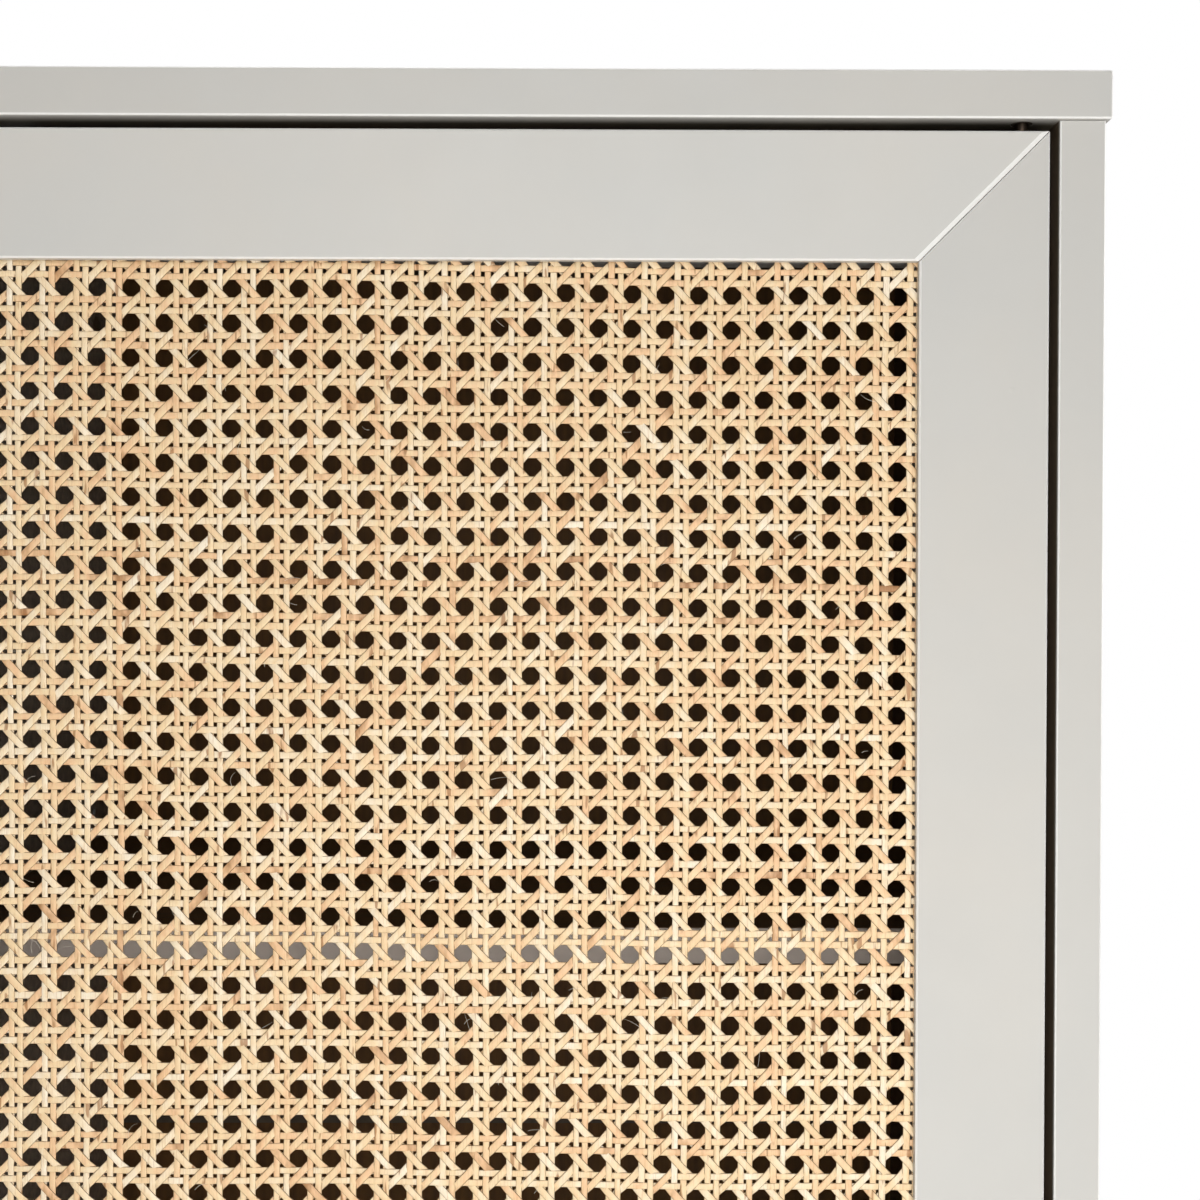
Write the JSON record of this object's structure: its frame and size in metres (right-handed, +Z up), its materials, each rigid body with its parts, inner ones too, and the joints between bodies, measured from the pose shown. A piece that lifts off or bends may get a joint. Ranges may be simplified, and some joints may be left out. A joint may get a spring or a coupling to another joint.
{
  "type": "shoe cabinet",
  "caption": "Shoe cabinet on tapered legs, with inset doors of woven cane in mitred frames, adjustable shelves, pin pivot hinges and magnetic catches.",
  "frame": {"origin": "on the floor, under the middle of the bounding box, knobs included", "axes": "+Z up, +X to the right seen from the front, the doors face -Y"},
  "size_m": [0.94, 0.374, 1.11],
  "materials": {
    "lacquered_board": "satin greige lacquer on fibreboard",
    "lacquered_door_frame": "satin greige lacquer on fibreboard",
    "lacquered_knob": "satin greige lacquer",
    "lacquered_bead": "satin greige lacquer",
    "shelf_board": "satin lacquer",
    "back_board": "dark hardboard",
    "woven_cane": "natural woven cane",
    "raw_wood": "raw beech",
    "white_plastic": "matte",
    "black_plastic": "matte",
    "black_steel": "blackened",
    "clear_rubber": "soft translucent",
    "magnet": "sintered",
    "cast_cam": "zinc plated",
    "zinc_steel": "zinc plated"
  },
  "bodies": {
    "carcass": {"back_joint_strip": "white_plastic", "bottom_panel": "lacquered_board", "cam_bolts": "zinc_steel", "cam_locks": "cast_cam", "catch_housings": "white_plastic", "catch_magnets": "magnet", "catch_screws": "zinc_steel", "centre_divider": "lacquered_board", "divider_screws": "zinc_steel", "door_bumpers": "clear_rubber", "dowels": "raw_wood", "left_back_leg": "lacquered_board", "left_front_leg": "lacquered_board", "left_lower_shelf": "shelf_board", "left_side_panel": "lacquered_board", "left_upper_shelf": "shelf_board", "leg_bolts": "zinc_steel", "leg_glides": "white_plastic", "leg_plate_screws": "zinc_steel", "leg_plates": "zinc_steel", "lower_back_panel": "back_board", "pivot_bushes": "black_plastic", "right_back_leg": "lacquered_board", "right_front_leg": "lacquered_board", "right_lower_shelf": "shelf_board", "right_side_panel": "lacquered_board", "right_upper_shelf": "shelf_board", "shelf_pins": "zinc_steel", "top_panel": "lacquered_board", "upper_back_panel": "back_board"},
    "left_door": {"left_door_bottom_rail": "lacquered_door_frame", "left_door_cane": "woven_cane", "left_door_cane_beads": "lacquered_bead", "left_door_hinge_stile": "lacquered_door_frame", "left_door_knob": "lacquered_knob", "left_door_knob_screw": "zinc_steel", "left_door_lower_pivot": "black_steel", "left_door_meeting_stile": "lacquered_door_frame", "left_door_mitre_biscuits": "raw_wood", "left_door_pivot_screws": "zinc_steel", "left_door_strike_plate": "zinc_steel", "left_door_strike_screws": "zinc_steel", "left_door_top_rail": "lacquered_door_frame", "left_door_upper_pivot": "black_steel"},
    "right_door": {"right_door_bottom_rail": "lacquered_door_frame", "right_door_cane": "woven_cane", "right_door_cane_beads": "lacquered_bead", "right_door_hinge_stile": "lacquered_door_frame", "right_door_knob": "lacquered_knob", "right_door_knob_screw": "zinc_steel", "right_door_lower_pivot": "black_steel", "right_door_meeting_stile": "lacquered_door_frame", "right_door_mitre_biscuits": "raw_wood", "right_door_pivot_screws": "zinc_steel", "right_door_strike_plate": "zinc_steel", "right_door_strike_screws": "zinc_steel", "right_door_top_rail": "lacquered_door_frame", "right_door_upper_pivot": "black_steel"}
  },
  "joints": [
    {"name": "left_door_hinge", "type": "hinge", "parent": "carcass", "child": "left_door", "pos_m": [-0.4384, -0.1565, 0.6], "axis": [0, 0, -1], "range_deg": [0, 110]},
    {"name": "right_door_hinge", "type": "hinge", "parent": "carcass", "child": "right_door", "pos_m": [0.4384, -0.1565, 0.6], "axis": [0, 0, 1], "range_deg": [0, 110]}
  ]
}
